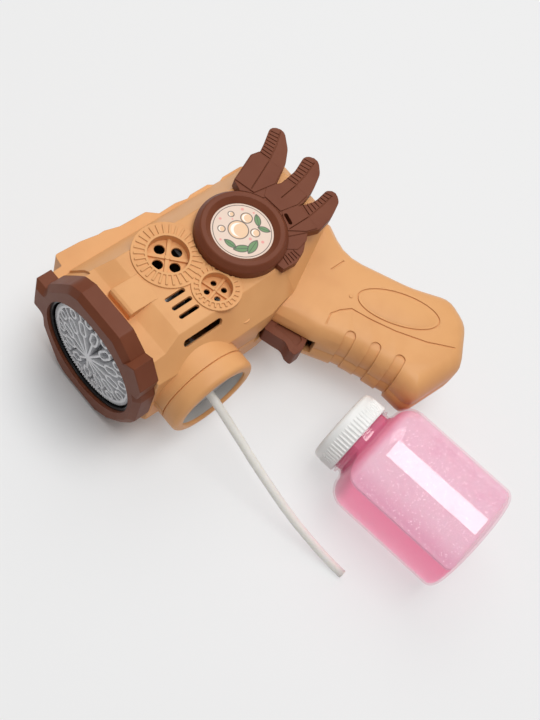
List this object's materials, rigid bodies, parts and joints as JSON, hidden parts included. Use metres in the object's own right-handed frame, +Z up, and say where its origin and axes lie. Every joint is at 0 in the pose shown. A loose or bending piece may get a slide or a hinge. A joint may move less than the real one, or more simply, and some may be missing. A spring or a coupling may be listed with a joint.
{
  "type": "bubble blower",
  "caption": "Toy bubble blower lying on its side, with a turning bubble disc, badge and wings on the sides, a trigger handle, a suction hose and a pink refill bottle",
  "frame": {"origin": "Centre of the bezel's right-hand side flat, on the surface that the blower lies on, under the muzzle axis", "axes": "+X runs from the muzzle to the rear of the blower, +Y is the blower's own up, +Z points up from the surface, out of the blower's left side"},
  "size_m": [0.1899, 0.2626, 0.092],
  "materials": {
    "caramel_plastic": "moulded caramel plastic, satin",
    "brown_plastic": "moulded brown plastic, satin",
    "badge_print": null,
    "pale_plastic": "moulded pale grey plastic",
    "black_plastic": "moulded black plastic",
    "white_plastic": "moulded white gear plastic",
    "soft_tube": "milky soft tube",
    "soft_seal": "soft pale grey seal",
    "steel": "plain steel",
    "brass": "turned brass",
    "cell_wrap": "plain printed sleeve",
    "red_plastic": "moulded red plastic",
    "pink_clear": "clear pink blown plastic",
    "pink_liquid": "pink soap solution",
    "cap_plastic": "ribbed white cap"
  },
  "bodies": {
    "blower": {"left_shell": "caramel_plastic", "right_shell": "caramel_plastic", "top_spine": "caramel_plastic", "front_bezel": "brown_plastic", "drip_tray": "black_plastic", "left_badge_ring": "brown_plastic", "right_badge_ring": "brown_plastic", "left_badge_print": "badge_print", "right_badge_print": "badge_print", "left_wing": "brown_plastic", "right_wing": "brown_plastic", "bottle_collar": "caramel_plastic", "socket_seal": "soft_seal", "suction_hose": "soft_tube", "pump_tube": "soft_tube", "fan_shroud": "black_plastic", "motor_can": "steel", "motor_end_cap": "black_plastic", "gear_frame": "black_plastic", "gear_frame_cover": "black_plastic", "compound_pin": "steel", "pump_housing": "black_plastic", "trigger_pin": "steel", "trigger_spring": "steel", "micro_switch": "black_plastic", "battery_tray": "black_plastic", "batteries": "cell_wrap", "battery_contacts": "steel", "shell_screws": "steel"},
    "trigger_lever": {"trigger": "brown_plastic"},
    "switch_plunger": {"switch_button": "red_plastic"},
    "motor_rotor": {"motor_shaft": "steel", "motor_pinion": "brass", "fan": "pale_plastic"},
    "compound": {"compound_gear": "white_plastic"},
    "lay": {"layshaft": "steel", "layshaft_gear": "white_plastic", "front_pinion": "white_plastic"},
    "disc": {"bubble_disc": "pale_plastic", "disc_axle": "steel", "axle_clip": "steel"},
    "pump": {"pump_shaft": "steel", "pump_gear": "white_plastic", "pump_rotor": "pale_plastic", "pump_rollers": "soft_seal"},
    "battery_door": {"battery_cover": "caramel_plastic", "cover_screw": "steel"},
    "bottle_body": {"bottle": "pink_clear", "bottle_liquid": "pink_liquid"},
    "cap_seat": {"cap_liner": "soft_seal"},
    "cap": {"bottle_cap": "cap_plastic"}
  },
  "joints": [
    {"name": "trigger_pull", "type": "hinge", "parent": "blower", "child": "trigger_lever", "pos_m": [0.0915, -0.0345, 0.046], "axis": [0, 0, 1], "range_deg": [0, 12], "stiffness_Nm_per_rad": 0.6, "deforming": ["trigger_spring"]},
    {"name": "switch_press", "type": "slide", "parent": "blower", "child": "switch_plunger", "axis": [1, 0, 0], "range_m": [0, 0.0025]},
    {"name": "motor_spin", "type": "hinge", "parent": "blower", "child": "motor_rotor", "pos_m": [0.0425, 0, 0.046], "axis": [1, 0, 0], "continuous": true},
    {"name": "compound_spin", "type": "hinge", "parent": "blower", "child": "compound", "pos_m": [0.0625, 0.0135, 0.05411], "axis": [1, 0, 0], "continuous": true},
    {"name": "lay_spin", "type": "hinge", "parent": "blower", "child": "lay", "pos_m": [0.0425, 0.027, 0.046], "axis": [1, 0, 0], "continuous": true},
    {"name": "disc_spin", "type": "hinge", "parent": "blower", "child": "disc", "pos_m": [-0.0015, 0, 0.046], "axis": [1, 0, 0], "continuous": true},
    {"name": "pump_spin", "type": "hinge", "parent": "blower", "child": "pump", "pos_m": [0.0725, -0.00375, 0.05411], "axis": [1, 0, 0], "continuous": true},
    {"name": "door_out", "type": "slide", "parent": "blower", "child": "battery_door", "axis": [0, 0, -1], "range_m": [0, 0.02]},
    {"name": "bottle_slide", "type": "slide", "parent": "blower", "child": "bottle_body", "axis": [0.1392, -0.9903, 0], "range_m": [0, 0.05]},
    {"name": "cap_lift", "type": "slide", "parent": "bottle_body", "child": "cap_seat", "axis": [-0.1392, 0.9903, 0], "range_m": [0, 0.006]},
    {"name": "cap_turn", "type": "hinge", "parent": "cap_seat", "child": "cap", "pos_m": [0.0875, -0.1075, 0.0345], "axis": [-0.1392, 0.9903, 0], "range_deg": [0, 720]}
  ],
  "couplings": [
    {"joint": "switch_press", "follows": "trigger_pull", "m_per_rad": 0.0115},
    {"joint": "compound_spin", "follows": "motor_spin", "ratio": -0.3125},
    {"joint": "lay_spin", "follows": "motor_spin", "ratio": 0.097656},
    {"joint": "disc_spin", "follows": "motor_spin", "ratio": -0.019531},
    {"joint": "pump_spin", "follows": "motor_spin", "ratio": 0.086806},
    {"joint": "cap_lift", "follows": "cap_turn", "m_per_rad": 0.00047746}
  ]
}
